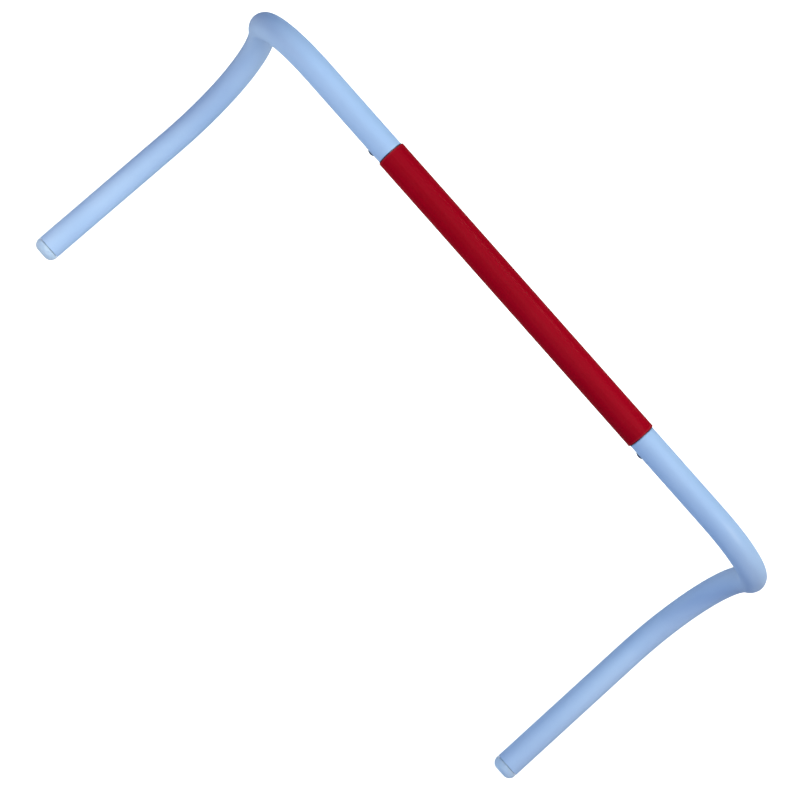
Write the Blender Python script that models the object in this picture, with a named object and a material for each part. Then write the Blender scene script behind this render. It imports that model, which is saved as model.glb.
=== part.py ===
# Knock-down training hurdle: two bent leg tubes on a joining tube with a loose crossbar sleeve.
# Metres, +Z up, X along the crossbar, feet towards -Y, floor at Z = 0.
import math

import bmesh
import bpy
from mathutils import Matrix, Vector

MM = 0.001

# Overall sizes
OVERALL_WIDTH = 700.0 * MM
OVERALL_HEIGHT = 228.6 * MM
FOOT_REACH = 279.0 * MM

# Tube and its bends
TUBE_RADIUS = 12.7 * MM
TUBE_WALL = 1.2 * MM
TOP_BEND_RADIUS = 76.0 * MM
UPRIGHT_STRAIGHT = 7.3 * MM
TUBE_END_ROUNDING = 0.4 * MM
TUBE_SIDES = 32
TOP_BEND_STEPS = 10
HEEL_BEND_STEPS = 12

# Crossbar sleeve
SLEEVE_LENGTH = 331.0 * MM
SLEEVE_WALL = 0.9 * MM
SLEEVE_CLEARANCE = 0.3 * MM
SLEEVE_EDGE_ROUNDING = 0.7 * MM
SLEEVE_END_GAP = 0.5 * MM

# Swaged spigots of the joining tube
SPIGOT_LENGTH = 45.0 * MM
SPIGOT_CLEARANCE = 0.3 * MM
SWAGE_TAPER = 6.0 * MM
SPIGOT_CHAMFER = 0.8 * MM

# Snap buttons and their leaf springs
BUTTON_RADIUS = 4.0 * MM
BUTTON_FROM_SLEEVE = 12.5 * MM
BUTTON_TILT = math.radians(33.0)
BUTTON_HOLE_CLEARANCE = 0.3 * MM
BUTTON_PROUD = 1.7 * MM
BUTTON_DOME_RISE = 1.2 * MM
BUTTON_DOME_STEPS = 6
BUTTON_EDGE = 0.2 * MM
BUTTON_SIDES = 24
RIVET_RADIUS = 1.5 * MM
RIVET_HOLE_CLEARANCE = 0.3 * MM
RIVET_HEAD_RADIUS = 2.4 * MM
RIVET_HEAD_THICKNESS = 0.8 * MM
SPRING_WIDTH = 8.0 * MM
SPRING_THICKNESS = 0.6 * MM
SPRING_CLEARANCE = 0.3 * MM
SPRING_TIP_BEYOND_BUTTON = 7.5 * MM
SPRING_SEAT_BEFORE_BUTTON = 6.0 * MM
SPRING_REACH = 33.0 * MM
SPRING_BEND_RADIUS = 3.0 * MM
SPRING_BEND_STEPS = 10

# End plugs in the feet
PLUG_HEAD_LENGTH = 9.0 * MM
PLUG_HEAD_ROUNDING = 7.6 * MM
PLUG_ROUNDING_STEPS = 5
PLUG_SEAT_GAP = 0.3 * MM
PLUG_SHANK_LENGTH = 18.0 * MM
PLUG_RIB_CLEARANCE = 0.3 * MM
PLUG_RIB_HEIGHT = 0.8 * MM
PLUG_RIB_PITCH = 4.0 * MM
PLUG_RIB_RAMP = 2.0 * MM
PLUG_RIB_STEP = 0.4 * MM
PLUG_RIB_COUNT = 3
PLUG_SHANK_WALL = 1.8 * MM
PLUG_WEB = 2.7 * MM

# Ballast rods in the feet
BALLAST_SETBACK = 13.0 * MM
BALLAST_CLEARANCE = 0.4 * MM
BALLAST_CHAMFER = 1.0 * MM
BALLAST_GAP = 0.5 * MM

# Places that follow from the sizes
HALF_SIDE = math.pi / TUBE_SIDES
TUBE_BORE = TUBE_RADIUS - TUBE_WALL
UPRIGHT_X = OVERALL_WIDTH / 2 - TUBE_RADIUS
BAR_Z = OVERALL_HEIGHT - TUBE_RADIUS
FOOT_Z = TUBE_RADIUS * math.cos(HALF_SIDE)
SLEEVE_RADIUS = TUBE_RADIUS + SLEEVE_CLEARANCE + SLEEVE_WALL
BAR_Y = (FOOT_REACH + PLUG_SEAT_GAP + PLUG_HEAD_LENGTH - SLEEVE_RADIUS) / 2
FOOT_END_Y = BAR_Y - FOOT_REACH
LEG_START_X = SLEEVE_LENGTH / 2 + SLEEVE_END_GAP
HEEL_BEND_RADIUS = BAR_Z - FOOT_Z - TOP_BEND_RADIUS - UPRIGHT_STRAIGHT
FOOT_STRAIGHT = FOOT_REACH - HEEL_BEND_RADIUS
SPIGOT_RADIUS = TUBE_BORE - SPIGOT_CLEARANCE
SPIGOT_BORE = SPIGOT_RADIUS - TUBE_WALL
BUTTON_X = SLEEVE_LENGTH / 2 + BUTTON_FROM_SLEEVE
SPRING_FACE = math.sqrt((SPIGOT_BORE - SPRING_CLEARANCE) ** 2 - (SPRING_WIDTH / 2) ** 2)
BUTTON_BASE = SPRING_FACE + SPRING_CLEARANCE
BUTTON_TOP = TUBE_RADIUS + BUTTON_PROUD
PLUG_DEPTH = PLUG_SHANK_LENGTH - PLUG_SEAT_GAP
BALLAST_LENGTH = FOOT_STRAIGHT - PLUG_DEPTH - BALLAST_GAP - BALLAST_SETBACK

LIGHT_BLUE = (0.390, 0.560, 0.880, 1.0)
PLUG_BLUE = (0.460, 0.640, 0.860, 1.0)
DARK_RED = (0.300, 0.006, 0.016, 1.0)
STEEL = (0.560, 0.570, 0.580, 1.0)


def make_material(name, colour, roughness, metallic):
    material = bpy.data.materials.new(name)
    material.use_nodes = True
    shader = material.node_tree.nodes["Principled BSDF"]
    shader.inputs["Base Color"].default_value = colour
    shader.inputs["Roughness"].default_value = roughness
    shader.inputs["Metallic"].default_value = metallic
    material.diffuse_color = colour
    return material


def make_object(name, bm, material):
    bmesh.ops.recalc_face_normals(bm, faces=bm.faces)
    mesh = bpy.data.meshes.new(name)
    bm.to_mesh(mesh)
    bm.free()
    mesh.materials.append(material)
    mesh.shade_smooth()
    mesh.set_sharp_from_angle(angle=math.radians(32.0))
    obj = bpy.data.objects.new(name, mesh)
    bpy.context.scene.collection.objects.link(obj)
    return obj


def spin_profile(points, sides, closed):
    # A (along, radius) outline turned about the local Z axis, flats facing the four sides.
    bm = bmesh.new()
    start = math.pi / sides
    direction = Vector((math.cos(start), math.sin(start), 0.0))
    verts = [bm.verts.new(direction * radius + Vector((0.0, 0.0, along))) for along, radius in points]
    edges = [bm.edges.new(pair) for pair in zip(verts, verts[1:])]
    if closed:
        edges.append(bm.edges.new((verts[-1], verts[0])))
    bmesh.ops.spin(
        bm,
        geom=verts + edges,
        cent=(0.0, 0.0, 0.0),
        axis=(0.0, 0.0, 1.0),
        angle=2.0 * math.pi,
        steps=sides,
        use_merge=True,
    )
    bmesh.ops.remove_doubles(bm, verts=bm.verts, dist=0.001 * MM)
    return bm


def arc_points(centre_along, centre_radius, arc_radius, first, last, steps):
    # Outline points on a round edge, angles measured from the outward radial direction.
    angles = [first + (last - first) * step / steps for step in range(steps + 1)]
    return [
        (centre_along + arc_radius * math.sin(angle), centre_radius + arc_radius * math.cos(angle))
        for angle in angles
    ]


def cap_faces(bm, point, normal):
    # The ring of faces that closes the tube at a point of its path.
    return [
        face
        for face in bm.faces
        if all(abs((vert.co - point).dot(normal)) < 0.01 * MM for vert in face.verts)
        and abs(face.normal.dot(normal)) > 0.99
    ]


def with_edges(faces):
    edges = {edge for face in faces for edge in face.edges}
    verts = {vert for face in faces for vert in face.verts}
    return list(faces) + list(edges) + list(verts)


def extrude_straight(bm, point, direction, length):
    bm.normal_update()
    result = bmesh.ops.extrude_face_region(bm, geom=with_edges(cap_faces(bm, point, direction)))
    moved = [item for item in result["geom"] if isinstance(item, bmesh.types.BMVert)]
    bmesh.ops.translate(bm, verts=moved, vec=direction * length)
    return point + direction * length


def spin_bend(bm, point, direction, new_direction, radius, steps):
    # A right-angle bend of the tube from one direction to another.
    bm.normal_update()
    centre = point + new_direction * radius
    bmesh.ops.spin(
        bm,
        geom=with_edges(cap_faces(bm, point, direction)),
        cent=centre,
        axis=direction.cross(new_direction),
        angle=math.pi / 2.0,
        steps=steps,
    )
    return centre + direction * radius


def build_leg_tube(name, side, material):
    # The origin is at the socket end on the crossbar axis.
    bm = bmesh.new()
    along = Vector((1.0, 0.0, 0.0))
    down = Vector((0.0, 0.0, -1.0))
    forward = Vector((0.0, -1.0, 0.0))
    turn = Matrix.Rotation(math.pi / 2.0, 4, "Y") @ Matrix.Rotation(HALF_SIDE, 4, "Z")
    loops = []
    for radius in (TUBE_RADIUS, TUBE_BORE):
        circle = bmesh.ops.create_circle(bm, segments=TUBE_SIDES, radius=radius, matrix=turn)
        loops += list({edge for vert in circle["verts"] for edge in vert.link_edges})
    bmesh.ops.bridge_loops(bm, edges=loops)
    point = extrude_straight(bm, Vector((0.0, 0.0, 0.0)), along, UPRIGHT_X - TOP_BEND_RADIUS - LEG_START_X)
    point = spin_bend(bm, point, along, down, TOP_BEND_RADIUS, TOP_BEND_STEPS)
    point = extrude_straight(bm, point, down, UPRIGHT_STRAIGHT)
    point = spin_bend(bm, point, down, forward, HEEL_BEND_RADIUS, HEEL_BEND_STEPS)
    point = extrude_straight(bm, point, forward, FOOT_STRAIGHT)
    bm.normal_update()
    rims = set()
    for end, normal in ((Vector((0.0, 0.0, 0.0)), along), (point, forward)):
        ring = cap_faces(bm, end, normal)
        for face in ring:
            rims |= {edge for edge in face.edges if not all(other in ring for other in edge.link_faces)}
    bmesh.ops.bevel(bm, geom=list(rims), offset=TUBE_END_ROUNDING, segments=2, profile=0.5, affect="EDGES")
    bmesh.ops.scale(bm, vec=(side, 1.0, 1.0), verts=bm.verts)
    leg = make_object(name, bm, material)
    leg.location = (side * LEG_START_X, BAR_Y, BAR_Z)
    return leg


def build_joining_tube(name, material):
    # Full tube under the sleeve, swaged down at both ends; local Z lies along the crossbar.
    half = SLEEVE_LENGTH / 2
    swage = half - SWAGE_TAPER
    tip = half + SPIGOT_LENGTH
    right_side = [
        (swage, TUBE_RADIUS),
        (half, SPIGOT_RADIUS),
        (tip - SPIGOT_CHAMFER, SPIGOT_RADIUS),
        (tip, SPIGOT_RADIUS - SPIGOT_CHAMFER),
        (tip, SPIGOT_BORE),
        (half, SPIGOT_BORE),
        (swage, TUBE_BORE),
    ]
    left_side = [(-along, radius) for along, radius in reversed(right_side)]
    bm = spin_profile(right_side + left_side, TUBE_SIDES, closed=True)
    tube = make_object(name, bm, material)
    tube.location = (0.0, BAR_Y, BAR_Z)
    tube.rotation_euler = (0.0, math.pi / 2.0, 0.0)
    return tube


def build_sleeve(name, material):
    half = SLEEVE_LENGTH / 2
    bore = TUBE_RADIUS + SLEEVE_CLEARANCE
    edge = SLEEVE_EDGE_ROUNDING
    quarter = math.pi / 2.0
    outline = arc_points(half - edge, SLEEVE_RADIUS - edge, edge, 0.0, quarter, 4)
    outline += [(half, bore), (-half, bore)]
    outline += arc_points(edge - half, SLEEVE_RADIUS - edge, edge, -quarter, 0.0, 4)
    bm = spin_profile(outline, TUBE_SIDES, closed=True)
    sleeve = make_object(name, bm, material)
    sleeve.location = (0.0, BAR_Y, BAR_Z)
    sleeve.rotation_euler = (0.0, math.pi / 2.0, 0.0)
    return sleeve


def build_end_plug(name, side, material):
    # Rounded head outside the tube and a ribbed hollow shank inside; local Z points out of the tube.
    rib_radius = TUBE_BORE - PLUG_RIB_CLEARANCE
    shank_radius = rib_radius - PLUG_RIB_HEIGHT
    hollow_radius = shank_radius - PLUG_SHANK_WALL
    head_base = PLUG_SEAT_GAP
    head_top = PLUG_SEAT_GAP + PLUG_HEAD_LENGTH
    shank_end = head_base - PLUG_SHANK_LENGTH
    outline = [(head_top - PLUG_WEB, 0.0), (head_top - PLUG_WEB, hollow_radius), (shank_end, hollow_radius)]
    outline += [(shank_end, shank_radius - PLUG_RIB_HEIGHT)]
    for rib in range(PLUG_RIB_COUNT):
        foot = shank_end + PLUG_RIB_HEIGHT + rib * PLUG_RIB_PITCH
        outline += [
            (foot, shank_radius),
            (foot + PLUG_RIB_RAMP, rib_radius),
            (foot + PLUG_RIB_RAMP + PLUG_RIB_STEP, shank_radius),
        ]
    outline += [(head_base, shank_radius)]
    outline += [(head_base, TUBE_RADIUS)]
    outline += arc_points(
        head_top - PLUG_HEAD_ROUNDING,
        TUBE_RADIUS - PLUG_HEAD_ROUNDING,
        PLUG_HEAD_ROUNDING,
        0.0,
        math.pi / 2.0,
        PLUG_ROUNDING_STEPS,
    )
    outline += [(head_top, 0.0)]
    bm = spin_profile(outline, TUBE_SIDES, closed=False)
    plug = make_object(name, bm, material)
    plug.location = (side * UPRIGHT_X, FOOT_END_Y, FOOT_Z)
    plug.rotation_euler = (math.pi / 2.0, 0.0, 0.0)
    return plug


def build_ballast_rod(name, side, material):
    radius = TUBE_BORE - BALLAST_CLEARANCE
    chamfer = BALLAST_CHAMFER
    outline = [
        (0.0, 0.0),
        (0.0, radius - chamfer),
        (chamfer, radius),
        (BALLAST_LENGTH - chamfer, radius),
        (BALLAST_LENGTH, radius - chamfer),
        (BALLAST_LENGTH, 0.0),
    ]
    bm = spin_profile(outline, TUBE_SIDES, closed=False)
    rod = make_object(name, bm, material)
    rod.location = (side * UPRIGHT_X, FOOT_END_Y + PLUG_DEPTH + BALLAST_GAP, FOOT_Z)
    rod.rotation_euler = (-math.pi / 2.0, 0.0, 0.0)
    return rod


def build_snap_frame(name, side):
    # Local Z points out through the button hole, local X away from the middle of the crossbar.
    frame = bpy.data.objects.new(name, None)
    bpy.context.scene.collection.objects.link(frame)
    lean = Matrix.Rotation(math.pi / 2.0 + BUTTON_TILT, 4, "X")
    turn = Matrix.Rotation(0.0 if side > 0 else math.pi, 4, "Z")
    frame.matrix_world = Matrix.Translation((side * BUTTON_X, BAR_Y, BAR_Z)) @ lean @ turn
    return frame


def build_snap_button(name, frame, material):
    # Domed head through both walls, riveted through the leaf of the spring.
    shoulder = BUTTON_TOP - BUTTON_DOME_RISE
    leaf_inside = SPRING_FACE - SPRING_THICKNESS
    rivet_top = leaf_inside - SPRING_CLEARANCE
    rivet_end = rivet_top - RIVET_HEAD_THICKNESS
    outline = [
        (rivet_end, 0.0),
        (rivet_end, RIVET_HEAD_RADIUS - 2 * BUTTON_EDGE),
        (rivet_end + 2 * BUTTON_EDGE, RIVET_HEAD_RADIUS),
        (rivet_top, RIVET_HEAD_RADIUS),
        (rivet_top, RIVET_RADIUS),
        (BUTTON_BASE, RIVET_RADIUS),
        (BUTTON_BASE, BUTTON_RADIUS - BUTTON_EDGE),
        (BUTTON_BASE + BUTTON_EDGE, BUTTON_RADIUS),
        (shoulder, BUTTON_RADIUS),
    ]
    for step in range(1, BUTTON_DOME_STEPS):
        angle = step * math.pi / (2 * BUTTON_DOME_STEPS)
        outline.append((shoulder + BUTTON_DOME_RISE * math.sin(angle), BUTTON_RADIUS * math.cos(angle)))
    outline.append((BUTTON_TOP, 0.0))
    bm = spin_profile(outline, BUTTON_SIDES, closed=False)
    button = make_object(name, bm, material)
    button.parent = frame
    return button


def build_leaf_spring(name, frame, material):
    # A bent strip: one leaf under the button, the other against the far wall of the spigot.
    leaf = SPRING_FACE - SPRING_THICKNESS / 2
    bend_x = SPRING_BEND_RADIUS - SPRING_REACH
    upper = [
        Vector((SPRING_TIP_BEYOND_BUTTON, 0.0, leaf)),
        Vector((-SPRING_SEAT_BEFORE_BUTTON, 0.0, leaf)),
    ]
    rise = leaf - SPRING_BEND_RADIUS
    run = -SPRING_SEAT_BEFORE_BUTTON - bend_x
    slope = math.atan2(rise, run)
    for step in range(SPRING_BEND_STEPS + 1):
        angle = math.pi / 2.0 + slope + (math.pi - 2.0 * slope) * step / SPRING_BEND_STEPS
        place = Vector((math.cos(angle), 0.0, math.sin(angle))) * SPRING_BEND_RADIUS
        upper.append(Vector((bend_x, 0.0, 0.0)) + place)
    lower = [Vector((point.x, 0.0, -point.z)) for point in reversed(upper[:2])]
    bm = bmesh.new()
    verts = [bm.verts.new(point - Vector((0.0, SPRING_WIDTH / 2, 0.0))) for point in upper + lower]
    edges = [bm.edges.new(pair) for pair in zip(verts, verts[1:])]
    result = bmesh.ops.extrude_edge_only(bm, edges=edges)
    moved = [item for item in result["geom"] if isinstance(item, bmesh.types.BMVert)]
    bmesh.ops.translate(bm, verts=moved, vec=(0.0, SPRING_WIDTH, 0.0))
    spring = make_object(name, bm, material)
    thicken = spring.modifiers.new("strip thickness", "SOLIDIFY")
    thicken.thickness = SPRING_THICKNESS
    thicken.offset = 0.0
    thicken.use_even_offset = True
    spring.parent = frame
    return spring


def build_cutter(name, frame, radius, first, last):
    # A round cutter on the button axis between two distances from the crossbar axis.
    bm = bmesh.new()
    place = Matrix.Translation((0.0, 0.0, (first + last) / 2))
    bmesh.ops.create_cone(
        bm,
        cap_ends=True,
        segments=BUTTON_SIDES,
        radius1=radius,
        radius2=radius,
        depth=last - first,
        matrix=place,
    )
    mesh = bpy.data.meshes.new(name)
    bm.to_mesh(mesh)
    bm.free()
    cutter = bpy.data.objects.new(name, mesh)
    bpy.context.scene.collection.objects.link(cutter)
    cutter.parent = frame
    cutter.hide_render = True
    cutter.display_type = "WIRE"
    return cutter


def cut(target, cutter):
    hole = target.modifiers.new(cutter.name, "BOOLEAN")
    hole.operation = "DIFFERENCE"
    hole.solver = "EXACT"
    hole.object = cutter


def main():
    for obj in list(bpy.data.objects):
        bpy.data.objects.remove(obj, do_unlink=True)

    leg_paint = make_material("leg_powder_coat", LIGHT_BLUE, 0.34, 0.0)
    sleeve_plastic = make_material("sleeve_plastic", DARK_RED, 0.38, 0.0)
    plug_plastic = make_material("plug_plastic", PLUG_BLUE, 0.45, 0.0)
    tube_metal = make_material("joining_tube_aluminium", STEEL, 0.35, 1.0)
    button_steel = make_material("button_steel", STEEL, 0.25, 1.0)
    spring_steel = make_material("spring_steel", STEEL, 0.30, 1.0)
    ballast_steel = make_material("ballast_steel", STEEL, 0.55, 1.0)

    joining_tube = build_joining_tube("crossbar_joining_tube", tube_metal)
    build_sleeve("crossbar_sleeve", sleeve_plastic)

    hole_radius = BUTTON_RADIUS + BUTTON_HOLE_CLEARANCE
    rivet_hole = RIVET_RADIUS + RIVET_HOLE_CLEARANCE
    leaf_cut_start = SPRING_FACE - BUTTON_RADIUS
    for side, label in ((-1.0, "left"), (1.0, "right")):
        leg = build_leg_tube(label + "_leg_tube", side, leg_paint)
        build_end_plug(label + "_end_plug", side, plug_plastic)
        build_ballast_rod(label + "_ballast_rod", side, ballast_steel)
        frame = build_snap_frame(label + "_snap_frame", side)
        build_snap_button(label + "_snap_button", frame, button_steel)
        spring = build_leaf_spring(label + "_button_spring", frame, spring_steel)
        wall_cutter = build_cutter(label + "_button_hole", frame, hole_radius, SPRING_FACE, BUTTON_TOP)
        leaf_cutter = build_cutter(label + "_rivet_hole", frame, rivet_hole, leaf_cut_start, BUTTON_BASE)
        cut(leg, wall_cutter)
        cut(joining_tube, wall_cutter)
        cut(spring, leaf_cutter)


main()
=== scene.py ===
import math

import bmesh
import bpy
from mathutils import Euler, Matrix, Vector


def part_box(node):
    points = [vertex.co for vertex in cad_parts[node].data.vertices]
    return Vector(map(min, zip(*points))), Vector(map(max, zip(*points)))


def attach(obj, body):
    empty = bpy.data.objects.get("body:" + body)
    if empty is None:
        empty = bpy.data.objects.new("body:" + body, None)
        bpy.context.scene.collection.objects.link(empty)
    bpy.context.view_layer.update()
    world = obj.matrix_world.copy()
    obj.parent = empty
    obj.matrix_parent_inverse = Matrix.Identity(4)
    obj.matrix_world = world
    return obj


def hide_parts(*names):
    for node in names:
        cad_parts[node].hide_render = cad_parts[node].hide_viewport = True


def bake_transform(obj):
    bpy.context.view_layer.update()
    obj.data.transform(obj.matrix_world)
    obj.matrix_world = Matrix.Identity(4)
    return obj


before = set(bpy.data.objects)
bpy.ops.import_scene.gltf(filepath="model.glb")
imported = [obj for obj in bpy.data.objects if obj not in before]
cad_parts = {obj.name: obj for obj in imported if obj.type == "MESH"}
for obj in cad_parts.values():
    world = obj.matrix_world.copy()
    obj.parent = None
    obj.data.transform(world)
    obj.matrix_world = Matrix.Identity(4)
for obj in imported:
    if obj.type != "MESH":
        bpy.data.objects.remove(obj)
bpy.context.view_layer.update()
print("frame loaded:", len(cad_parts), "nodes")

mm = 0.001
sideNames = {-1: "left", 1: "right"}

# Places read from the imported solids
sleeveLow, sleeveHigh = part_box("crossbar_sleeve")
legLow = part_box("right_leg_tube")[0]
plugLow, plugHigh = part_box("right_end_plug")
barCentre = (sleeveLow + sleeveHigh) / 2
uprightX = (plugLow.x + plugHigh.x) / 2
footZ = (plugLow.z + plugHigh.z) / 2
legStart = legLow.x
footEnd = legLow.y

# Limits that the mesh helpers share
weldDistance = 0.0005 * mm
flatDistance = 0.01 * mm
facingCosine = 0.99
sharpAngle = math.radians(35.0)


# Mesh helpers

def addPiece(name, body, nodes, mesh, material, bend=None):
    # A finished piece, at the origin, that stands for its solids. It rides on its body, or stays
    # fixed where it is when a bend is given.
    piece = bpy.data.objects.new(name, mesh)
    bpy.context.scene.collection.objects.link(piece)
    mesh.materials.clear()
    mesh.materials.append(material)
    if bend:
        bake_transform(piece)
    else:
        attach(piece, body)
    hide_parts(*nodes)


def shadeSmooth(mesh):
    mesh.shade_smooth()
    mesh.set_sharp_from_angle(angle=sharpAngle)


def sortByPlace(elements, placeOf):
    # The operators number their results anew in each run, so they get an order of their own.
    ranks = {item: rank for rank, item in enumerate(sorted(elements, key=placeOf))}
    elements.sort(key=ranks.get)


def meshFrom(name, bm):
    bmesh.ops.remove_doubles(bm, verts=bm.verts, dist=weldDistance)
    bmesh.ops.recalc_face_normals(bm, faces=bm.faces)
    sortByPlace(bm.verts, lambda vert: vert.co.to_tuple(7))
    sortByPlace(bm.faces, lambda face: face.calc_center_median().to_tuple(7))
    mesh = bpy.data.meshes.new(name)
    bm.to_mesh(mesh)
    bm.free()
    shadeSmooth(mesh)
    return mesh


def spunOutline(points, sides, closed=False):
    # Turns an outline of (along, radius) points about the local Z axis.
    bm = bmesh.new()
    direction = Vector((math.cos(math.pi / sides), math.sin(math.pi / sides), 0.0))
    verts = []
    for along, radius in points:
        verts.append(bm.verts.new(direction * radius + Vector((0.0, 0.0, along))))
    edges = [bm.edges.new(pair) for pair in zip(verts, verts[1:])]
    if closed:
        edges.append(bm.edges.new((verts[-1], verts[0])))
    bmesh.ops.spin(
        bm,
        geom=verts + edges,
        cent=(0, 0, 0),
        axis=(0, 0, 1),
        angle=2 * math.pi,
        steps=sides,
        use_merge=True,
    )
    bmesh.ops.remove_doubles(bm, verts=bm.verts, dist=weldDistance)
    return bm


def roundCorner(along, radius, rounding, first, last, steps):
    # Points of a rounded corner; the angle starts at the outward radial direction.
    angles = [math.radians(first + (last - first) * step / steps) for step in range(steps + 1)]
    return [(along + rounding * math.sin(a), radius + rounding * math.cos(a)) for a in angles]


def endRing(bm, point, normal):
    # The ring of faces that closes the tube at a point of its path.
    return [
        face
        for face in bm.faces
        if all(abs((vert.co - point).dot(normal)) < flatDistance for vert in face.verts)
        and abs(face.normal.dot(normal)) > facingCosine
    ]


def edgesOf(items):
    # Each edge once, in an order that is the same in every run.
    edges = []
    for item in items:
        edges += item.edges if isinstance(item, bmesh.types.BMFace) else item.link_edges
    return list(dict.fromkeys(edges))


def withEdges(faces):
    verts = dict.fromkeys(vert for face in faces for vert in face.verts)
    return list(faces) + edgesOf(faces) + list(verts)


def runStraight(bm, point, direction, length):
    bm.normal_update()
    ring = withEdges(endRing(bm, point, direction))
    result = bmesh.ops.extrude_face_region(bm, geom=ring)
    moved = [item for item in result["geom"] if isinstance(item, bmesh.types.BMVert)]
    bmesh.ops.translate(bm, verts=moved, vec=direction * length)
    return point + direction * length


def runBend(bm, point, direction, newDirection, radius, steps):
    bm.normal_update()
    centre = point + newDirection * radius
    bmesh.ops.spin(
        bm,
        geom=withEdges(endRing(bm, point, direction)),
        cent=centre,
        axis=direction.cross(newDirection),
        angle=math.pi / 2,
        steps=steps,
    )
    return centre + direction * radius


# Node helpers

def newGroup(name, inputs, outputs):
    # A shared effect with named sockets; inputs are (name, kind, default).
    group = bpy.data.node_groups.new(name, "ShaderNodeTree")
    sockets = group.interface
    for label, kind, default in inputs:
        socket = sockets.new_socket(name=label, in_out="INPUT", socket_type="NodeSocket" + kind)
        if default is not None:
            socket.default_value = default
    for label, kind in outputs:
        sockets.new_socket(name=label, in_out="OUTPUT", socket_type="NodeSocket" + kind)
    return group, group.nodes.new("NodeGroupInput"), group.nodes.new("NodeGroupOutput")


def addNode(tree, kind, inputs=None, **settings):
    # A node with its settings; an input is a value or an output socket to link.
    node = tree.nodes.new("ShaderNode" + kind)
    for key, value in settings.items():
        setattr(node, key, value)
    for key, value in (inputs or {}).items():
        if isinstance(value, bpy.types.NodeSocket):
            tree.links.new(value, node.inputs[key])
        else:
            node.inputs[key].default_value = value
    return node


def placeGroup(tree, group, inputs):
    return addNode(tree, "Group", inputs, node_tree=group)


def addMath(tree, operation, first, second=0.0, third=0.0, clamp=False):
    inputs = {0: first, 1: second, 2: third}
    return addNode(tree, "Math", inputs, operation=operation, use_clamp=clamp).outputs[0]


def addRamp(tree, value, low, high, toLow=0.0, toHigh=1.0):
    # Smooth step from one range to another.
    inputs = {"Value": value, "From Min": low, "From Max": high, "To Min": toLow, "To Max": toHigh}
    node = addNode(tree, "MapRange", inputs, interpolation_type="SMOOTHSTEP")
    return node.outputs["Result"]


def addMix(tree, factor, first, second):
    # The three sockets of a colour mix are told apart by number, since their names repeat.
    return addNode(tree, "Mix", {0: factor, 6: first, 7: second}, data_type="RGBA").outputs[2]


def addTint(tree, colour, other, mask, share):
    return addMix(tree, addMath(tree, "MULTIPLY", mask, share), colour, other)


def addNoise(tree, vector, scale, detail, roughness=0.5, distortion=0.0):
    inputs = {"Vector": vector, "Scale": scale, "Detail": detail}
    inputs |= {"Roughness": roughness, "Distortion": distortion}
    return addNode(tree, "TexNoise", inputs).outputs[0]


# Shared effects

def makeOrangePeel():
    # Shallow dimples of a baked coat, with a finer ripple over them.
    group, entry, exitNode = newGroup(
        "orangePeel",
        [("Vector", "Vector", None), ("Dimple Scale", "Float", 320.0), ("Ripple", "Float", 0.25)],
        [("Height", "Float")],
    )
    vector, scale = entry.outputs["Vector"], entry.outputs["Dimple Scale"]
    dimples = addNoise(group, vector, scale, 1.0, roughness=0.4)
    ripple = addNoise(group, vector, addMath(group, "MULTIPLY", scale, 3.7), 2.0)
    height = addMath(group, "MULTIPLY_ADD", ripple, entry.outputs["Ripple"], dimples)
    group.links.new(height, exitNode.inputs["Height"])
    return group


def makeMottle():
    # Cloudy unevenness of a colour, and a fine pigment speckle.
    group, entry, exitNode = newGroup(
        "mottle",
        [
            ("Vector", "Vector", None),
            ("Cloud Scale", "Float", 12.0),
            ("Speckle Scale", "Float", 900.0),
        ],
        [("Clouds", "Float"), ("Speckle", "Float")],
    )
    vector = entry.outputs["Vector"]
    clouds = addNoise(group, vector, entry.outputs["Cloud Scale"], 4.0, 0.55, distortion=0.4)
    speckle = addNoise(group, vector, entry.outputs["Speckle Scale"], 1.0)
    group.links.new(addRamp(group, clouds, 0.3, 0.7), exitNode.inputs["Clouds"])
    group.links.new(addRamp(group, speckle, 0.35, 0.65), exitNode.inputs["Speckle"])
    return group


def makeScuffs():
    # Short fine rub marks that run along one direction, in loose patches.
    group, entry, exitNode = newGroup(
        "scuffs",
        [
            ("Vector", "Vector", None),
            ("Stretch", "Vector", (40.0, 900.0, 900.0)),
            ("Patch Scale", "Float", 22.0),
            ("Coverage", "Float", 0.5),
        ],
        [("Mask", "Float")],
    )
    vector = entry.outputs["Vector"]
    stretching = {0: vector, 1: entry.outputs["Stretch"]}
    stretched = addNode(group, "VectorMath", stretching, operation="MULTIPLY").outputs[0]
    thin = addRamp(group, addNoise(group, stretched, 1.0, 2.0, roughness=0.6), 0.60, 0.72)
    patches = addNoise(group, vector, entry.outputs["Patch Scale"], 2.0)
    threshold = addMath(group, "SUBTRACT", 1.0, entry.outputs["Coverage"])
    shown = addMath(group, "SUBTRACT", patches, threshold)
    shown = addMath(group, "MULTIPLY", shown, 5.0, clamp=True)
    group.links.new(addMath(group, "MULTIPLY", thin, shown), exitNode.inputs["Mask"])
    return group


def makeBrushing():
    # Fine parallel lines of drawn or brushed metal.
    group, entry, exitNode = newGroup(
        "brushing",
        [("Vector", "Vector", None), ("Stretch", "Vector", (30.0, 1500.0, 1500.0))],
        [("Lines", "Float")],
    )
    stretching = {0: entry.outputs["Vector"], 1: entry.outputs["Stretch"]}
    stretched = addNode(group, "VectorMath", stretching, operation="MULTIPLY").outputs[0]
    lines = addNoise(group, stretched, 1.0, 3.0, roughness=0.65)
    group.links.new(lines, exitNode.inputs["Lines"])
    return group


orangePeel = makeOrangePeel()
mottle = makeMottle()
scuffs = makeScuffs()
brushing = makeBrushing()
print("shared effects made")


# Material helpers

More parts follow.
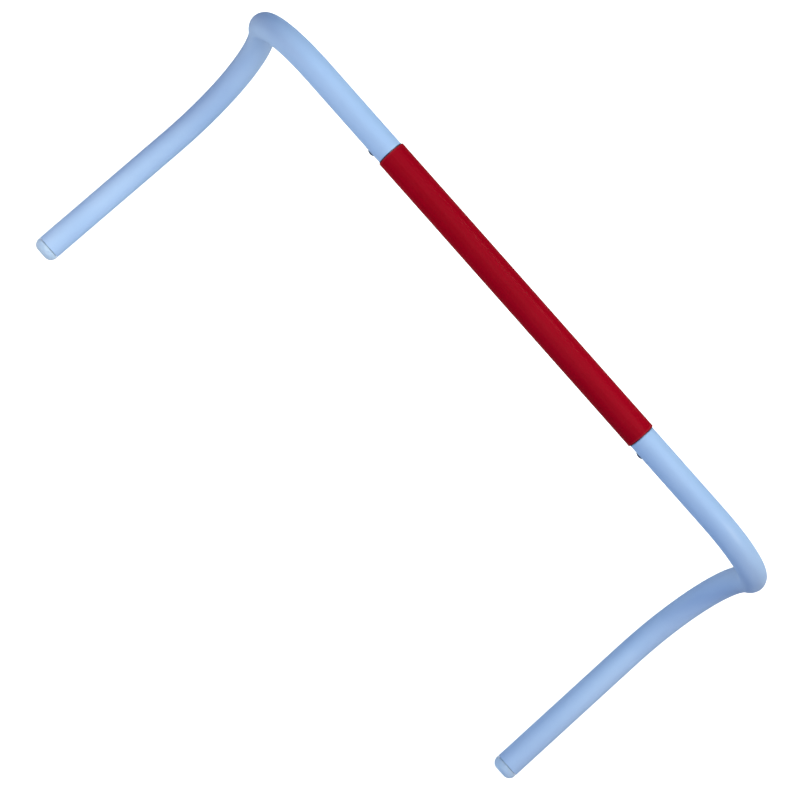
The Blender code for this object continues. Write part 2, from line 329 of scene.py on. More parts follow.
def newMaterial(name, values):
    # A Principled material with its even values on the shader's own sockets.
    material = bpy.data.materials.new(name)
    material.use_nodes = True
    tree = material.node_tree
    shader = tree.nodes["Principled BSDF"]
    for label, value in values.items():
        shader.inputs[label].default_value = value
    material.diffuse_color = values["Base Color"]
    place = addNode(tree, "TexCoord").outputs["Object"]
    return material, tree, shader, place


def addMottle(tree, place, finish):
    inputs = {"Vector": place, "Cloud Scale": finish["cloudScale"]}
    tone = placeGroup(tree, mottle, {**inputs, "Speckle Scale": finish["speckleScale"]})
    return tone.outputs["Clouds"], tone.outputs["Speckle"]


def addScuffs(tree, place, values):
    inputs = {"Vector": place, "Stretch": values["stretch"]}
    inputs |= {"Patch Scale": values["patchScale"], "Coverage": values["coverage"]}
    return placeGroup(tree, scuffs, inputs).outputs["Mask"]


def addLines(tree, place, stretch):
    return placeGroup(tree, brushing, {"Vector": place, "Stretch": stretch}).outputs["Lines"]


def addGloss(tree, value, finish, low=0.0, high=1.0):
    return addRamp(tree, value, low, high, finish["gloss"], finish["roughestGloss"])


def addBump(tree, shader, height, depth, strength=1.0):
    bump = addNode(tree, "Bump", {"Height": height, "Strength": strength, "Distance": depth})
    tree.links.new(bump.outputs["Normal"], shader.inputs["Normal"])


def softenEdges(tree, shader, finish):
    # Less sheen where the surface turns away, as on a finely matted coat.
    facing = addNode(tree, "LayerWeight", {"Blend": 0.5}).outputs["Facing"]
    sheen = addRamp(tree, facing, 0.18, 0.36, finish["sheen"], finish["edgeSheen"])
    tree.links.new(sheen, shader.inputs["Specular IOR Level"])


# Snap-button lock: sizes that the hole in the leg, the button and its spring share

snapButton = {
    "fromMiddle": 178.0 * mm,
    "tilt": 33.0,
    "radius": 4.0 * mm,
    "proud": 1.7 * mm,
    "domeRise": 1.2 * mm,
    "domeSteps": 10,
    "edge": 0.2 * mm,
    "base": 9.15 * mm,
    "rivetRadius": 1.5 * mm,
    "rivetHeadRadius": 2.4 * mm,
    "rivetHead": 7.93 * mm,
    "rivetEnd": 7.14 * mm,
    "sides": 48,
    "holeRadius": 4.3 * mm,
    "cutFrom": 6.5 * mm,
    "cutTo": 16.0 * mm,
}


def buttonPlace(side):
    # Local Z points out through the button hole, local X away from the middle of the crossbar.
    centre = Vector((side * snapButton["fromMiddle"], barCentre.y, barCentre.z))
    lean = Matrix.Rotation(math.pi / 2 + math.radians(snapButton["tilt"]), 4, "X")
    turn = Matrix.Rotation(0.0 if side > 0 else math.pi, 4, "Z")
    return Matrix.Translation(centre) @ lean @ turn


def drillHole(mesh, side, radius, start, stop, strip=None):
    # Takes a round hole on the button's axis out of a mesh. A strip of sheet gets its thickness
    # before the hole, and its rounded edges after it.
    bm = bmesh.new()
    bmesh.ops.create_cone(
        bm,
        cap_ends=True,
        segments=snapButton["sides"],
        radius1=radius,
        radius2=radius,
        depth=stop - start,
        matrix=buttonPlace(side) @ Matrix.Translation((0, 0, (start + stop) / 2)),
    )
    drill = bpy.data.objects.new("drill", meshFrom("drill", bm))
    blank = bpy.data.objects.new("blank", mesh)
    for helper in (drill, blank):
        bpy.context.scene.collection.objects.link(helper)
    if strip:
        thicken = blank.modifiers.new("strip thickness", "SOLIDIFY")
        thicken.thickness = strip["thickness"]
        thicken.offset = 0.0
        thicken.use_even_offset = True
    hole = blank.modifiers.new("round hole", "BOOLEAN")
    hole.operation = "DIFFERENCE"
    hole.solver = "EXACT"
    hole.object = drill
    if strip:
        edges = blank.modifiers.new("rounded edges", "BEVEL")
        edges.width = strip["edge"]
        edges.segments = strip["edgeSteps"]
        edges.limit_method = "ANGLE"
        edges.angle_limit = math.radians(strip["edgeAngle"])
    bpy.context.view_layer.update()
    evaluated = blank.evaluated_get(bpy.context.evaluated_depsgraph_get())
    drilled = bpy.data.meshes.new_from_object(evaluated)
    for helper in (drill, blank):
        bpy.data.objects.remove(helper)
    shadeSmooth(drilled)
    return drilled


# Legs: bent aluminium tube under a light-blue baked coat

tube = {
    "radius": 12.65 * mm,
    "wall": 1.2 * mm,
    "sides": 64,
    "holeStretch": 16.0 * mm,
    "topBend": 76.0 * mm,
    "topSteps": 30,
    "upright": 7.3 * mm,
    "heelSteps": 42,
    "endRounding": 0.4 * mm,
    "roundingSteps": 3,
}
legCoat = {
    "blue": (0.374, 0.542, 0.879, 1.0),
    "paleBlue": (0.396, 0.562, 0.889, 1.0),
    "deepBlue": (0.350, 0.520, 0.865, 1.0),
    "fleck": (0.345, 0.515, 0.850, 1.0),
    "fleckShare": 0.35,
    # Painted shade for the seams at the sleeve and the plug
    "seamShade": (0.140, 0.220, 0.380, 1.0),
    "seamShadeShare": 0.5,
    "rubbed": (0.480, 0.640, 0.890, 1.0),
    "rubbedShare": 0.7,
    "bareMetal": (0.620, 0.640, 0.670, 1.0),
    "cloudScale": 9.0,
    "speckleScale": 1400.0,
    "sheen": 0.18,
    "edgeSheen": 0.03,
    "gloss": 0.38,
    "roughestGloss": 0.48,
    "markGloss": 0.25,
    "handling": {"stretch": (900.0, 260.0, 260.0), "patchScale": 22.0, "coverage": 0.40},
    "handlingShare": 0.5,
    "dragging": {"stretch": (900.0, 60.0, 900.0), "patchScale": 22.0, "coverage": 0.62},
    "dragFade": (22.0 * mm, 2.0 * mm),
    "lipFade": (0.35 * mm, 0.1 * mm),
    "lipDepth": (30.0 * mm, 20.0 * mm),
    "chipScale": 700.0,
    "chipFade": (0.66, 0.72),
    "dimpleScale": 330.0,
    "dimpleDepth": 0.080 * mm,
    "ripple": 0.3,
    "markDepth": -0.25,
}


def makeLegMaterial():
    material, tree, shader, place = newMaterial(
        "light_blue_powder_coat",
        {
            "Base Color": legCoat["blue"],
            "Roughness": legCoat["gloss"],
            "Specular IOR Level": legCoat["sheen"],
        },
    )
    clouds, speckle = addMottle(tree, place, legCoat)
    colour = addMix(tree, clouds, legCoat["deepBlue"], legCoat["paleBlue"])
    colour = addTint(tree, colour, legCoat["fleck"], speckle, legCoat["fleckShare"])

    # Handling marks round the tube, and longer drag marks along the feet
    axes = addNode(tree, "SeparateXYZ", {0: place})
    handling = addScuffs(tree, place, legCoat["handling"])
    handling = addMath(tree, "MULTIPLY", handling, legCoat["handlingShare"])
    low = addRamp(tree, axes.outputs["Z"], *legCoat["dragFade"])
    dragging = addMath(tree, "MULTIPLY", addScuffs(tree, place, legCoat["dragging"]), low)
    marks = addMath(tree, "MAXIMUM", handling, dragging)
    colour = addTint(tree, colour, legCoat["rubbed"], marks, legCoat["rubbedShare"])

    # Painted shade darkens the cut lips at both ends of the tube, in the seams at the sleeve and
    # the plug; chips of bare metal show there, where the coat is thin
    across = addMath(tree, "ABSOLUTE", axes.outputs["X"])
    atBar = addRamp(tree, across, *(legStart + d for d in legCoat["lipFade"]))
    atFoot = addRamp(tree, axes.outputs["Y"], *(footEnd + d for d in legCoat["lipFade"]))
    nearTop = addRamp(tree, axes.outputs["Z"], *(barCentre.z - d for d in legCoat["lipDepth"]))
    lips = addMath(tree, "MAXIMUM", addMath(tree, "MULTIPLY", atBar, nearTop), atFoot)
    chips = addNoise(tree, place, legCoat["chipScale"], 2.0)
    bare = addMath(tree, "MULTIPLY", lips, addRamp(tree, chips, *legCoat["chipFade"]))
    colour = addTint(tree, colour, legCoat["seamShade"], lips, legCoat["seamShadeShare"])
    colour = addMix(tree, bare, colour, legCoat["bareMetal"])
    tree.links.new(colour, shader.inputs["Base Color"])
    tree.links.new(bare, shader.inputs["Metallic"])

    gloss = addGloss(tree, clouds, legCoat)
    gloss = addMath(tree, "MULTIPLY_ADD", marks, legCoat["markGloss"], gloss)
    tree.links.new(gloss, shader.inputs["Roughness"])
    softenEdges(tree, shader, legCoat)
    coating = {"Dimple Scale": legCoat["dimpleScale"], "Ripple": legCoat["ripple"]}
    peel = placeGroup(tree, orangePeel, {"Vector": place, **coating}).outputs["Height"]
    height = addMath(tree, "MULTIPLY_ADD", marks, legCoat["markDepth"], peel)
    addBump(tree, shader, height, legCoat["dimpleDepth"])
    return material


def makeLegMesh(side):
    # The right leg's path, from the crossbar to the foot, mirrored for the left leg.
    bm = bmesh.new()
    along, down, forward = Vector((1, 0, 0)), Vector((0, 0, -1)), Vector((0, -1, 0))
    sides = tube["sides"]
    start = Vector((legStart, barCentre.y, barCentre.z))
    turn = Matrix.Rotation(math.pi / 2, 4, "Y") @ Matrix.Rotation(math.pi / sides, 4, "Z")
    place = Matrix.Translation(start) @ turn
    loops = []
    for radius in (tube["radius"], tube["radius"] - tube["wall"]):
        circle = bmesh.ops.create_circle(bm, segments=sides, radius=radius, matrix=place)
        loops += edgesOf(circle["verts"])
    bmesh.ops.bridge_loops(bm, edges=loops)

    holeStart = snapButton["fromMiddle"] - tube["holeStretch"] / 2
    heelBend = barCentre.z - footZ - tube["topBend"] - tube["upright"]
    point = runStraight(bm, start, along, holeStart - legStart)
    point = runStraight(bm, point, along, tube["holeStretch"])
    point = runStraight(bm, point, along, uprightX - tube["topBend"] - point.x)
    point = runBend(bm, point, along, down, tube["topBend"], tube["topSteps"])
    point = runStraight(bm, point, down, tube["upright"])
    point = runBend(bm, point, down, forward, heelBend, tube["heelSteps"])
    point = runStraight(bm, point, forward, point.y - footEnd)

    bm.normal_update()
    rims = []
    for end, normal in ((start, along), (point, forward)):
        ring = endRing(bm, end, normal)
        for edge in edgesOf(ring):
            if not all(face in ring for face in edge.link_faces):
                rims.append(edge)
    bmesh.ops.bevel(
        bm,
        geom=rims,
        offset=tube["endRounding"],
        segments=tube["roundingSteps"],
        profile=0.5,
        affect="EDGES",
        material=-1,
    )
    bmesh.ops.scale(bm, vec=(side, 1, 1), verts=bm.verts)
    return meshFrom(sideNames[side] + "_leg", bm)


legMaterial = makeLegMaterial()
for side, label in sideNames.items():
    legMesh = drillHole(
        makeLegMesh(side),
        side,
        snapButton["holeRadius"],
        snapButton["cutFrom"],
        snapButton["cutTo"],
    )
    addPiece(
        label + "_coated_leg",
        "hurdle_frame",
        [label + "_leg_tube"],
        legMesh,
        legMaterial,
    )
print("legs made")


# Crossbar sleeve: dark-red extruded plastic, loose on its tube

sleeveFinish = {
    "radius": 13.84 * mm,
    "bore": 12.96 * mm,
    "rounding": 0.7 * mm,
    "roundingSteps": 6,
    "boreRounding": 0.15 * mm,
    "boreSteps": 2,
    "sides": 64,
    "red": (0.308, 0.0010, 0.011, 1.0),
    "deepRed": (0.285, 0.0006, 0.009, 1.0),
    "brightRed": (0.332, 0.0018, 0.014, 1.0),
    "brightShare": 0.45,
    # Lighter red for rub marks, and for the painted highlight along the rounded lips
    "rubAndHighlightRed": (0.370, 0.0140, 0.026, 1.0),
    # Painted shadow line at the cut edge, where the sleeve meets the leg
    "edgeShadow": (0.060, 0.0050, 0.014, 1.0),
    "cloudScale": 16.0,
    "speckleScale": 1100.0,
    "sheen": 0.04,
    "edgeSheen": 0.01,
    "gloss": 0.20,
    "roughestGloss": 0.26,
    "rubGloss": 0.2,
    "wear": {"stretch": (700.0, 130.0, 130.0), "patchScale": 30.0, "coverage": 0.46},
    "wearShare": 0.45,
    "lipFade": (2.2 * mm, 0.9 * mm),
    "lipHighlightShare": 0.8,
    "edgeShadowFade": (0.75 * mm, 0.35 * mm),
    "dieLineStretch": (6.0, 520.0, 520.0),
    "dieLineFade": (0.35, 0.65),
    "dieLineDepth": 0.030 * mm,
    "speckleHeight": 0.3,
}


def makeSleeveMaterial():
    material, tree, shader, place = newMaterial(
        "dark_red_extruded_plastic",
        {
            "Base Color": sleeveFinish["red"],
            "Roughness": sleeveFinish["gloss"],
            "Specular IOR Level": sleeveFinish["sheen"],
        },
    )
    clouds, speckle = addMottle(tree, place, sleeveFinish)
    dieLines = addLines(tree, place, sleeveFinish["dieLineStretch"])
    lines = addRamp(tree, dieLines, *sleeveFinish["dieLineFade"])
    colour = addMix(tree, clouds, sleeveFinish["deepRed"], sleeveFinish["red"])
    colour = addTint(tree, colour, sleeveFinish["brightRed"], lines, sleeveFinish["brightShare"])

    # Rub marks make the red lighter and rougher. A painted highlight along the rounded lips does
    # the same, up to a painted shadow line at the cut edge
    axes = addNode(tree, "SeparateXYZ", {0: place})
    across = addMath(tree, "ABSOLUTE", axes.outputs["X"])
    rub = addScuffs(tree, place, sleeveFinish["wear"])
    rub = addMath(tree, "MULTIPLY", rub, sleeveFinish["wearShare"])
    # Painted highlight along the rounded lips
    lipHighlight = addRamp(tree, across, *(sleeveHigh.x - d for d in sleeveFinish["lipFade"]))
    lipHighlight = addMath(tree, "MULTIPLY", lipHighlight, sleeveFinish["lipHighlightShare"])
    rub = addMath(tree, "MAXIMUM", rub, lipHighlight)
    colour = addMix(tree, rub, colour, sleeveFinish["rubAndHighlightRed"])
    # Painted shadow line at the cut edge, where the sleeve meets the leg
    edgeShadow = addRamp(tree, across, *(sleeveHigh.x - d for d in sleeveFinish["edgeShadowFade"]))
    colour = addMix(tree, edgeShadow, colour, sleeveFinish["edgeShadow"])
    tree.links.new(colour, shader.inputs["Base Color"])

    gloss = addGloss(tree, clouds, sleeveFinish)
    gloss = addMath(tree, "MULTIPLY_ADD", rub, sleeveFinish["rubGloss"], gloss)
    tree.links.new(gloss, shader.inputs["Roughness"])
    softenEdges(tree, shader, sleeveFinish)
    height = addMath(tree, "MULTIPLY_ADD", speckle, sleeveFinish["speckleHeight"], lines)
    addBump(tree, shader, height, sleeveFinish["dieLineDepth"])
    return material


def makeSleeveMesh():
    half = sleeveHigh.x
    edge, steps = sleeveFinish["rounding"], sleeveFinish["roundingSteps"]
    boreEdge, boreSteps = sleeveFinish["boreRounding"], sleeveFinish["boreSteps"]
    outer = sleeveFinish["radius"] - edge
    inner = sleeveFinish["bore"] + boreEdge
    outline = roundCorner(half - edge, outer, edge, 0, 90, steps)
    outline += roundCorner(half - boreEdge, inner, boreEdge, 90, 180, boreSteps)
    outline += roundCorner(boreEdge - half, inner, boreEdge, 180, 270, boreSteps)
    outline += roundCorner(edge - half, outer, edge, 270, 360, steps)
    bm = spunOutline(outline, sleeveFinish["sides"], closed=True)
    place = Matrix.Translation(barCentre) @ Matrix.Rotation(math.pi / 2, 4, "Y")
    bmesh.ops.transform(bm, verts=bm.verts, matrix=place)
    return meshFrom("sleeve", bm)


addPiece(
    "red_crossbar_sleeve",
    "sleeve",
    ["crossbar_sleeve"],
    makeSleeveMesh(),
    makeSleeveMaterial(),
)
print("crossbar sleeve made")


# End plugs: moulded plastic heads that close the feet

plugFinish = {
    "radius": 12.65 * mm,
    "headLength": 8.98 * mm,
    "seatGap": 0.3 * mm,
    "seatRounding": 0.2 * mm,
    "seatSteps": 2,
    "rounding": 7.6 * mm,
    "roundingSteps": 14,
    "gateRadius": 1.7 * mm,
    "gateDepth": 0.5 * mm,
    "gateShoulder": (0.3, 0.4),
    "shankLength": 18.0 * mm,
    "shankRadius": 10.35 * mm,
    "shankChamfer": 0.8 * mm,
    "ribRadius": 11.15 * mm,
    "ribPitch": 4.0 * mm,
    "ribRise": 2.0 * mm,
    "ribEnd": 2.4 * mm,
    "ribs": 3,
    "hollowRadius": 8.6 * mm,
    "web": 2.7 * mm,
    "sides": 64,
    "blue": (0.434, 0.588, 0.862, 1.0),
    "paleBlue": (0.458, 0.612, 0.870, 1.0),
    "worn": (0.510, 0.665, 0.895, 1.0),
    "wornShare": 0.7,
    # Painted shade in the seam at the tube
    "seamShade": (0.170, 0.250, 0.400, 1.0),
    "seamShadeWidth": 0.35 * mm,
    "seamShadeShare": 0.5,
    "cloudScale": 70.0,
    "speckleScale": 1500.0,
    "sheen": 0.08,
    "gloss": 0.38,
    "roughestGloss": 0.48,
    "rubGloss": 0.2,
    "glow": 0.40,
    "glowReach": 4.0 * mm,
    "glowRadius": (0.8, 0.9, 1.0),
    "wear": {"stretch": (420.0, 420.0, 420.0), "patchScale": 160.0, "coverage": 0.60},
    "noseFade": (4.5 * mm, 1.0 * mm),
    "floorFade": (8.0 * mm, 1.0 * mm),
    "grainDepth": 0.060 * mm,
}


def makePlugMaterial():
    material, tree, shader, place = newMaterial(
        "moulded_blue_plug",
        {
            "Base Color": plugFinish["blue"],
            "Roughness": plugFinish["gloss"],
            "Specular IOR Level": plugFinish["sheen"],
            "Subsurface Weight": plugFinish["glow"],
            "Subsurface Scale": plugFinish["glowReach"],
            "Subsurface Radius": plugFinish["glowRadius"],
        },
    )
    clouds, speckle = addMottle(tree, place, plugFinish)
    colour = addMix(tree, clouds, plugFinish["blue"], plugFinish["paleBlue"])

    # The nose and the underside are worn, and painted shade darkens the seam at the tube
    axes = addNode(tree, "SeparateXYZ", {0: place})
    nose = addRamp(tree, axes.outputs["Y"], *(plugLow.y + d for d in plugFinish["noseFade"]))
    low = addRamp(tree, axes.outputs["Z"], *plugFinish["floorFade"])
    wear = addScuffs(tree, place, plugFinish["wear"])
    rub = addMath(tree, "MULTIPLY", wear, addMath(tree, "MAXIMUM", nose, low))
    colour = addTint(tree, colour, plugFinish["worn"], rub, plugFinish["wornShare"])
    seat = footEnd - plugFinish["seatGap"]
    seamShade = addRamp(tree, axes.outputs["Y"], seat - plugFinish["seamShadeWidth"], seat)
    colour = addTint(tree, colour, plugFinish["seamShade"], seamShade, plugFinish["seamShadeShare"])
    tree.links.new(colour, shader.inputs["Base Color"])

    gloss = addGloss(tree, clouds, plugFinish)
    gloss = addMath(tree, "MULTIPLY_ADD", rub, plugFinish["rubGloss"], gloss)
    tree.links.new(gloss, shader.inputs["Roughness"])
    addBump(tree, shader, speckle, plugFinish["grainDepth"])
    return material


def makePlugMesh(side):
    # The outline runs from the hollow of the shank over the ribs to the gate mark in the nose.
    base = plugFinish["seatGap"]
    top = base + plugFinish["headLength"]
    shankEnd = base - plugFinish["shankLength"]
    shank, chamfer = plugFinish["shankRadius"], plugFinish["shankChamfer"]
    hollow, hollowEnd = plugFinish["hollowRadius"], top - plugFinish["web"]
    outline = [(hollowEnd, 0.0), (hollowEnd, hollow)]
    outline += [(shankEnd, hollow), (shankEnd, shank - chamfer)]
    for rib in range(plugFinish["ribs"]):
        foot = shankEnd + chamfer + rib * plugFinish["ribPitch"]
        outline += [
            (foot, shank),
            (foot + plugFinish["ribRise"], plugFinish["ribRadius"]),
            (foot + plugFinish["ribEnd"], shank),
        ]
    outline += [(base, shank)]
    radius = plugFinish["radius"]
    edge, steps = plugFinish["seatRounding"], plugFinish["seatSteps"]
    outline += roundCorner(base + edge, radius - edge, edge, -90, 0, steps)
    edge, steps = plugFinish["rounding"], plugFinish["roundingSteps"]
    outline += roundCorner(top - edge, radius - edge, edge, 0, 90, steps)
    gate, sink = plugFinish["gateRadius"], plugFinish["gateDepth"]
    drop, spread = plugFinish["gateShoulder"]
    outline += [
        (top, gate + sink),
        (top - drop * sink, gate + spread * sink),
        (top - sink, gate),
        (top - sink, 0.0),
    ]
    bm = spunOutline(outline, plugFinish["sides"])
    end = Vector((side * uprightX, footEnd, footZ))
    place = Matrix.Translation(end) @ Matrix.Rotation(math.pi / 2, 4, "X")
    bmesh.ops.transform(bm, verts=bm.verts, matrix=place)
    return meshFrom(sideNames[side] + "_plug", bm)


plugMaterial = makePlugMaterial()
for side, label in sideNames.items():
    addPiece(
        label + "_moulded_plug",
        "hurdle_frame",
        [label + "_end_plug"],
        makePlugMesh(side),
        plugMaterial,
    )
print("end plugs made")


# Snap buttons: domed steel heads, zinc plated with a blue tint, each with its rivet

buttonFinish = {
    "zinc": (0.120, 0.170, 0.270, 1.0),
    "paleZinc": (0.190, 0.250, 0.370, 1.0),
    "dull": (0.070, 0.100, 0.160, 1.0),
    "dullShare": 0.6,
    "cloudScale": 500.0,
    "speckleScale": 5000.0,
    "gloss": 0.28,
    "roughestGloss": 0.42,
    "wear": {"stretch": (3000.0, 900.0, 900.0), "patchScale": 400.0, "coverage": 0.5},
    "turning": {"Scale": 413.815, "Distortion": 0.6, "Detail": 2.0, "Detail Scale": 1.5},
    "turningDepth": 0.006 * mm,
}


def makeButtonMaterial():
    material, tree, shader, place = newMaterial(
        "zinc_plated_button",
        {"Base Color": buttonFinish["zinc"], "Metallic": 1.0, "Roughness": buttonFinish["gloss"]},
    )
    # Both buttons share the material: the left one is folded onto the right one
    axes = addNode(tree, "SeparateXYZ", {0: place})
    across = addMath(tree, "ABSOLUTE", axes.outputs["X"])
    parts = {0: across, 1: axes.outputs["Y"], 2: axes.outputs["Z"]}
    folded = addNode(tree, "CombineXYZ", parts).outputs[0]
    centre = buttonPlace(1)
    turned = addNode(
        tree,
        "Mapping",
        {"Vector": folded, "Location": centre.translation, "Rotation": centre.to_euler()},
        vector_type="TEXTURE",
    )
    rings = addNode(
        tree,
        "TexWave",
        {"Vector": turned.outputs[0], **buttonFinish["turning"]},
        wave_type="RINGS",
        rings_direction="Z",
    ).outputs[1]
    clouds = addMottle(tree, place, buttonFinish)[0]
    colour = addMix(tree, clouds, buttonFinish["zinc"], buttonFinish["paleZinc"])
    worn = addScuffs(tree, place, buttonFinish["wear"])
    colour = addTint(tree, colour, buttonFinish["dull"], worn, buttonFinish["dullShare"])
    tree.links.new(colour, shader.inputs["Base Color"])
    tree.links.new(addGloss(tree, rings, buttonFinish), shader.inputs["Roughness"])
    addBump(tree, shader, rings, buttonFinish["turningDepth"])
    return material


def makeButtonMesh(side):
    # The outline runs from the rivet's head up to the top of the dome.
    radius, edge, base = snapButton["radius"], snapButton["edge"], snapButton["base"]
    rise, steps = snapButton["domeRise"], snapButton["domeSteps"]
    rivet, rivetHeadRadius = snapButton["rivetRadius"], snapButton["rivetHeadRadius"]
    rivetEnd, rivetHead = snapButton["rivetEnd"], snapButton["rivetHead"]
    top = tube["radius"] + snapButton["proud"]
    shoulder = top - rise
    outline = [
        (rivetEnd, 0.0),
        (rivetEnd, rivetHeadRadius - 2 * edge),
        (rivetEnd + 2 * edge, rivetHeadRadius),
        (rivetHead, rivetHeadRadius),
        (rivetHead, rivet),
        (base, rivet),
        (base, radius - edge),
        (base + edge, radius),
        (shoulder, radius),
    ]
    for step in range(1, steps):
        angle = step * math.pi / (2 * steps)
        outline.append((shoulder + rise * math.sin(angle), radius * math.cos(angle)))
    outline.append((top, 0.0))
    bm = spunOutline(outline, snapButton["sides"])
    bmesh.ops.transform(bm, verts=bm.verts, matrix=buttonPlace(side))
    return meshFrom(sideNames[side] + "_button", bm)


buttonMetal = makeButtonMaterial()
for side, label in sideNames.items():
    addPiece(
        label + "_zinc_button",
        label + "_button",
        [label + "_snap_button"],
        makeButtonMesh(side),
        buttonMetal,
    )
print("snap buttons made")


# Inner parts: drawn aluminium, spring steel and bright steel bar

drawnTube = {
    "bright": (0.660, 0.670, 0.680, 1.0),
    "dark": (0.520, 0.530, 0.545, 1.0),
    "cloudScale": 40.0,
    "speckleScale": 1600.0,
    "gloss": 0.30,
    "roughestGloss": 0.42,
    "lineStretch": (25.0, 1300.0, 1300.0),
    "lineDepth": 0.010 * mm,
}
temperedSpring = {
    "bright": (0.480, 0.490, 0.510, 1.0),
    "dark": (0.400, 0.380, 0.360, 1.0),
    "cloudScale": 120.0,
    "speckleScale": 1600.0,
    "gloss": 0.26,
    "roughestGloss": 0.38,
    "lineStretch": (60.0, 2200.0, 2200.0),
    "lineDepth": 0.010 * mm,
}
ballastBar = {
    "bright": (0.430, 0.435, 0.445, 1.0),
    "dark": (0.250, 0.215, 0.190, 1.0),
    "cloudScale": 60.0,
    "speckleScale": 1600.0,
    "gloss": 0.40,
    "roughestGloss": 0.60,
    "lineStretch": (1100.0, 30.0, 1100.0),
    "lineDepth": 0.010 * mm,
}
leafSpring = {
    "width": 8.0 * mm,
    "thickness": 0.6 * mm,
    "face": 8.837 * mm,
    "tipBeyond": 7.5 * mm,
    "seatBefore": 6.0 * mm,
    "reach": 33.0 * mm,
    "bendRadius": 3.0 * mm,
    "bendSteps": 20,
    "armSteps": 12,
    "edge": 0.1 * mm,
    "edgeSteps": 2,
    "edgeAngle": 50.0,
    "rivetHole": 1.8 * mm,
    "movingGap": 0.03 * mm,
}


def makeDrawnMetal(name, finish):
    # Metal with its drawing or grinding lines, and clouds of a darker tone.
    material, tree, shader, place = newMaterial(
        name,
        {"Base Color": finish["bright"], "Metallic": 1.0, "Roughness": finish["gloss"]},
    )
    lines = addLines(tree, place, finish["lineStretch"])
    clouds = addMottle(tree, place, finish)[0]
    tone = addMath(tree, "MULTIPLY_ADD", lines, 0.5, addMath(tree, "MULTIPLY", clouds, 0.5))
    colour = addMix(tree, tone, finish["dark"], finish["bright"])
    tree.links.new(colour, shader.inputs["Base Color"])
    tree.links.new(addGloss(tree, lines, finish, 0.3, 0.7), shader.inputs["Roughness"])
    addBump(tree, shader, lines, finish["lineDepth"])
    return material


def makeSpringMesh(side):
    # A bent strip: one leaf under the button, the other against the far wall of the spigot.
    bend, bendSteps = leafSpring["bendRadius"], leafSpring["bendSteps"]
    armSteps = leafSpring["armSteps"]
    bendX = bend - leafSpring["reach"]
    leaf = leafSpring["face"] - leafSpring["thickness"] / 2
    seat = Vector((-leafSpring["seatBefore"], 0.0, leaf))
    slope = math.atan2(leaf - bend, seat.x - bendX)
    curve = []
    for step in range(bendSteps + 1):
        angle = math.pi / 2 + slope + (math.pi - 2 * slope) * step / bendSteps
        curve.append(Vector((bendX + bend * math.cos(angle), 0.0, bend * math.sin(angle))))
    arm = [seat.lerp(curve[0], step / armSteps) for step in range(armSteps)]
    upper = [Vector((leafSpring["tipBeyond"], 0.0, leaf))] + arm
    lower = [Vector((point.x, 0.0, -point.z)) for point in reversed(upper)]
    bm = bmesh.new()
    half = Vector((0.0, leafSpring["width"] / 2, 0.0))
    verts = [bm.verts.new(point - half) for point in upper + curve + lower]
    edges = [bm.edges.new(pair) for pair in zip(verts, verts[1:])]
    result = bmesh.ops.extrude_edge_only(bm, edges=edges)
    moved = [item for item in result["geom"] if isinstance(item, bmesh.types.BMVert)]
    bmesh.ops.translate(bm, verts=moved, vec=2 * half)
    bmesh.ops.transform(bm, verts=bm.verts, matrix=buttonPlace(side))
    return drillHole(
        meshFrom("strip", bm),
        side,
        leafSpring["rivetHole"],
        snapButton["cutFrom"],
        snapButton["base"],
        strip=leafSpring,
    )


def springBend(side, label):
    # The upper leaf's bend towards the button, given by the button's name and the bend's start and
    # end; the lower leaf stays with the tube.
    place = buttonPlace(side)
    leafInside = leafSpring["face"] - leafSpring["thickness"] - leafSpring["movingGap"]
    return {
        "towards": label + "_button",
        "start": place.translation,
        "end": place @ Vector((0.0, 0.0, leafInside)),
    }


tubeMetal = makeDrawnMetal("drawn_aluminium_tube", drawnTube)
springMetal = makeDrawnMetal("tempered_spring_steel", temperedSpring)
barMetal = makeDrawnMetal("cut_steel_bar", ballastBar)
carriedOver = {
    "crossbar_joining_tube": tubeMetal,
    "left_ballast_rod": barMetal,
    "right_ballast_rod": barMetal,
}
for nodeName, metal in carriedOver.items():
    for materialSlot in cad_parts[nodeName].material_slots:
        materialSlot.material = metal
for side, label in sideNames.items():
    addPiece(
        label + "_leaf_spring",
        "hurdle_frame",
        [label + "_button_spring"],
        makeSpringMesh(side),
        springMetal,
        springBend(side, label),
    )
print("inner parts finished")


# Studio: pale floor, soft lights and the camera of the photograph

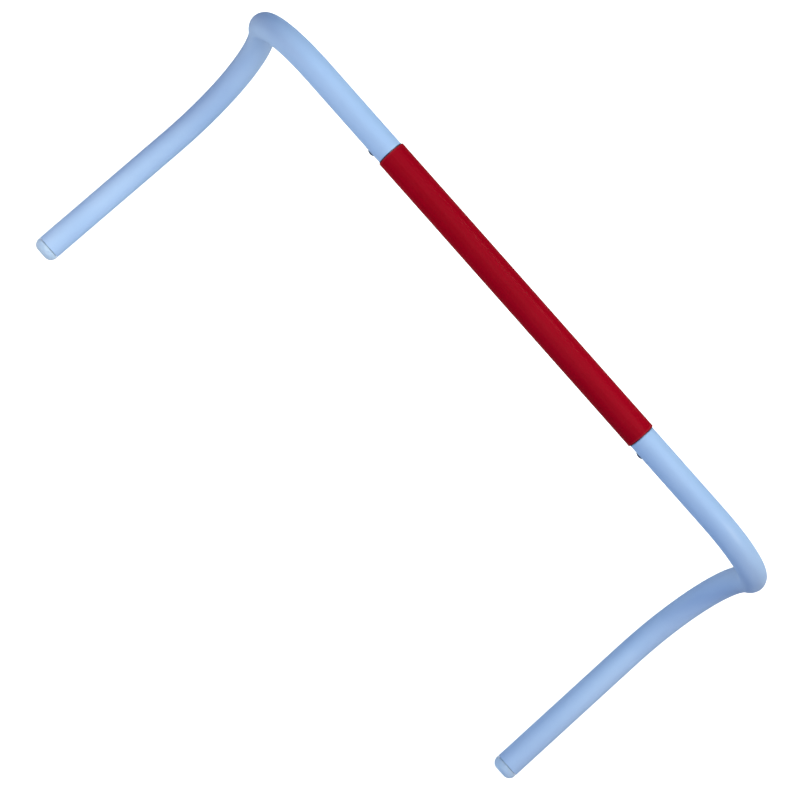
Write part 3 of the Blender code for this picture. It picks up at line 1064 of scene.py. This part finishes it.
studioFloor = {
    "size": 14.0,
    "drop": 0.05 * mm,
    "shade": (0.508, 0.521, 0.525, 1.0),
    "roughness": 0.9,
    "sheen": 0.1,
    "glow": 1.0,
    "glowShade": (1.0, 1.0, 1.0, 1.0),
    "grainScale": 900.0,
    "grainDepth": 0.02 * mm,
    "grainStrength": 0.4,
}
studioSky = {
    "shade": (0.140, 0.330, 1.0, 1.0),
    "strength": 0.260,
    "seenShade": (1.0, 1.0, 1.0, 1.0),
}
lightTarget = (0.0, 0.0, 0.1)
studioLights = {
    "key_light": {
        "place": (3.562, 2.658, 4.513),
        "size": 2.7,
        "power": 272.0,
        "shade": (1.0, 0.865, 0.589),
        "lighting": True,
        "mirrored": True,
    },
    "fill_light": {
        "place": (-0.053, -0.256, 0.90),
        "size": 1.0,
        "power": 3.49,
        "shade": (0.92, 1.0, 0.839),
        "lighting": True,
        "mirrored": False,
    },
    "rim_light": {
        "place": (-0.077, 1.583, 1.070),
        "size": 0.6,
        "power": 9.6,
        "shade": (0.84, 1.0, 0.80),
        "lighting": True,
        "mirrored": False,
    },
    "side_light": {
        "place": (-0.532, -0.305, 0.39),
        "size": 0.5,
        "power": 1.56,
        "shade": (1.0, 0.869, 0.605),
        "lighting": True,
        "mirrored": False,
    },
    "front_light": {
        "place": (0.270, -0.640, 0.075),
        "size": 0.12,
        "power": 0.80,
        "shade": (0.92, 0.99, 0.97),
        "lighting": True,
        "mirrored": False,
    },
    "sheen_light": {
        "place": (0.0, 1.16, 3.04),
        "size": 3.4,
        "power": 42.0,
        "shade": (1.0, 0.96, 1.0),
        "lighting": False,
        "mirrored": True,
    },
}
photoCamera = {
    "place": (0.0046, -0.1359, 1.7984),
    "turn": (3.322, -3.588, 48.380),
    "lens": 82.06,
    "sensor": 36.0,
    "farthest": 50.0,
}


def makeFloor():
    bm = bmesh.new()
    bmesh.ops.create_grid(bm, x_segments=8, y_segments=8, size=studioFloor["size"] / 2)
    bmesh.ops.translate(bm, verts=bm.verts, vec=(0, 0, -studioFloor["drop"]))
    floor = bpy.data.objects.new("studio_floor", meshFrom("studio_floor", bm))
    bpy.context.scene.collection.objects.link(floor)
    material, tree, shader, place = newMaterial(
        "pale_floor",
        {
            "Base Color": studioFloor["shade"],
            "Roughness": studioFloor["roughness"],
            "Specular IOR Level": studioFloor["sheen"],
            "Emission Color": studioFloor["glowShade"],
        },
    )
    grain = addNoise(tree, place, studioFloor["grainScale"], 2.0)
    addBump(tree, shader, grain, studioFloor["grainDepth"], studioFloor["grainStrength"])
    # Lifts the paper to white for the camera, without lighting the hurdle from below
    seen = addNode(tree, "LightPath").outputs["Is Camera Ray"]
    glow = addMath(tree, "MULTIPLY", seen, studioFloor["glow"])
    tree.links.new(glow, shader.inputs["Emission Strength"])
    floor.data.materials.append(material)


def makeSoftLight(name, values):
    light = bpy.data.lights.new(name, "AREA")
    light.shape = "DISK"
    light.size = values["size"]
    light.energy = values["power"]
    light.color = values["shade"]
    lamp = bpy.data.objects.new(name, light)
    lamp.location = values["place"]
    aim = Vector(lightTarget) - lamp.location
    lamp.rotation_euler = aim.to_track_quat("-Z", "Y").to_euler()
    lamp.visible_camera = False
    lamp.visible_diffuse = values["lighting"]
    lamp.visible_glossy = values["mirrored"]
    bpy.context.scene.collection.objects.link(lamp)


def makeWorld():
    # Cool light from the room; the camera itself sees a pale wall.
    world = bpy.data.worlds.new("studio")
    world.use_nodes = True
    tree = world.node_tree
    background = tree.nodes["Background"]
    seen = addNode(tree, "LightPath").outputs["Is Camera Ray"]
    shade = addMix(tree, seen, studioSky["shade"], studioSky["seenShade"])
    strength = addRamp(tree, seen, 0.0, 1.0, studioSky["strength"], 1.0)
    tree.links.new(shade, background.inputs["Color"])
    tree.links.new(strength, background.inputs["Strength"])
    bpy.context.scene.world = world


def makeCamera():
    data = bpy.data.cameras.new("photo_camera")
    data.lens = photoCamera["lens"]
    data.sensor_width = photoCamera["sensor"]
    data.clip_end = photoCamera["farthest"]
    camera = bpy.data.objects.new("photo_camera", data)
    camera.location = photoCamera["place"]
    camera.rotation_euler = Euler([math.radians(angle) for angle in photoCamera["turn"]])
    bpy.context.scene.collection.objects.link(camera)
    bpy.context.scene.camera = camera


makeFloor()
for lightName, lightValues in studioLights.items():
    makeSoftLight(lightName, lightValues)
makeWorld()
bpy.context.scene.view_settings.view_transform = "Standard"
makeCamera()
print("studio set")
